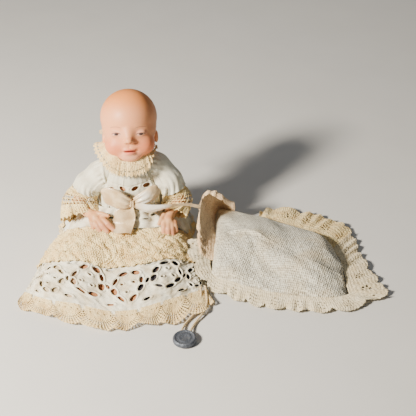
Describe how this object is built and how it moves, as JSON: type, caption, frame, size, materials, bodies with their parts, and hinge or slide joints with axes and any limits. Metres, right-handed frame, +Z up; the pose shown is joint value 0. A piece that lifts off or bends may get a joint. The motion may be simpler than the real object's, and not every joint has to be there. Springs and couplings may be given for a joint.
{
  "type": "porcelain doll",
  "caption": "Seated baby doll with a porcelain head on a jointed composition body, in a lace christening gown with a satin bow, beside its lace-edged pillow with tie cords and a lead seal.",
  "frame": {"origin": "middle of the doll's flat seat, on the surface that the doll sits on", "axes": "+Z up; the doll looks along -Y; +X is the doll's left, towards its pillow"},
  "size_m": [0.318, 0.2055, 0.141],
  "materials": {
    "bisque": "matt, tinted bisque with blushed cheeks and painted features",
    "plug_wood": "bare turned wood",
    "composition": "painted composition, satin, warm flesh colour",
    "hook_wire": "bent iron wire",
    "elastic": "covered round elastic",
    "cotton": "fine cotton lawn, aged white",
    "lace": "cotton bobbin lace, ecru",
    "crochet": "crocheted cotton, cream",
    "satin": "satin ribbon, ivory",
    "button_pearl": "small white buttons",
    "pillow_cloth": "cotton with a raised honeycomb weave, off-white",
    "stuffing": "cotton wadding",
    "pillow_lace": "gathered cotton lace, ecru",
    "cord": "thin cotton cord",
    "lead": "dull blue-grey lead with a worn relief"
  },
  "bodies": {
    "torso": {"torso_front": "composition", "torso_back": "composition", "arm_elastic": "elastic", "leg_elastic": "elastic", "bodice_front": "cotton", "bodice_back_left": "cotton", "bodice_back_right": "cotton", "back_buttons": "button_pearl", "collar_lace": "lace", "neck_tie_bow": "satin", "skirt_back": "cotton", "hem_lace_back": "lace", "bow_knot": "satin", "bow_left_loop": "satin", "bow_right_loop": "satin", "ribbon_tail_down": "satin", "ribbon_tail_inner": "satin"},
    "neck_link": {"neck_hook": "hook_wire", "neck_elastic": "elastic"},
    "head": {"head_shell": "bisque", "neck_plug": "plug_wood"},
    "right_arm": {"right_arm": "composition", "right_arm_hook": "hook_wire", "right_sleeve": "cotton", "right_cuff_lace": "lace"},
    "left_arm": {"left_arm": "composition", "left_arm_hook": "hook_wire", "left_sleeve": "cotton", "left_cuff_lace": "lace", "ribbon_tail_outer": "satin"},
    "lap": {"skirt_front": "cotton", "eyelet_panel": "cotton", "lap_overlay_lace": "crochet", "hem_lace": "lace"},
    "right_leg": {"right_leg": "composition", "right_leg_hook": "hook_wire"},
    "left_leg": {"left_leg": "composition", "left_leg_hook": "hook_wire"},
    "pillow": {"pillow_cover_top": "pillow_cloth", "pillow_cover_bottom": "pillow_cloth", "pillow_filling": "stuffing", "ruffle_far": "pillow_lace", "ruffle_right": "pillow_lace", "ruffle_near": "pillow_lace", "ruffle_standing": "pillow_lace", "tag_cord_a": "cord", "tag_cord_b": "cord", "seal_disc": "lead"}
  },
  "joints": [
    {"name": "neck_turn", "type": "hinge", "parent": "torso", "child": "neck_link", "pos_m": [0, 0, 0.0815], "axis": [0, 0, 1], "range_deg": [-60, 60]},
    {"name": "neck_nod", "type": "hinge", "parent": "neck_link", "child": "head", "pos_m": [0, 0, 0.0815], "axis": [1, 0, 0], "range_deg": [0, 15]},
    {"name": "right_shoulder", "type": "hinge", "parent": "torso", "child": "right_arm", "pos_m": [0, 0, 0.067], "axis": [-1, 0, 0], "range_deg": [0, 85]},
    {"name": "left_shoulder", "type": "hinge", "parent": "torso", "child": "left_arm", "pos_m": [0, 0, 0.067], "axis": [-1, 0, 0], "range_deg": [0, 85]},
    {"name": "hip_fold", "type": "hinge", "parent": "torso", "child": "lap", "pos_m": [0, 0.001, 0.018], "axis": [1, 0, 0], "range_deg": [0, 75]},
    {"name": "right_hip", "type": "hinge", "parent": "lap", "child": "right_leg", "pos_m": [0, 0.001, 0.018], "axis": [1, 0, 0], "range_deg": [0, 15]},
    {"name": "left_hip", "type": "hinge", "parent": "lap", "child": "left_leg", "pos_m": [0, 0.001, 0.018], "axis": [1, 0, 0], "range_deg": [0, 15]},
    {"name": "pillow_slide", "type": "slide", "parent": "torso", "child": "pillow", "axis": [1, 0, 0], "range_m": [0, 0.15]}
  ]
}
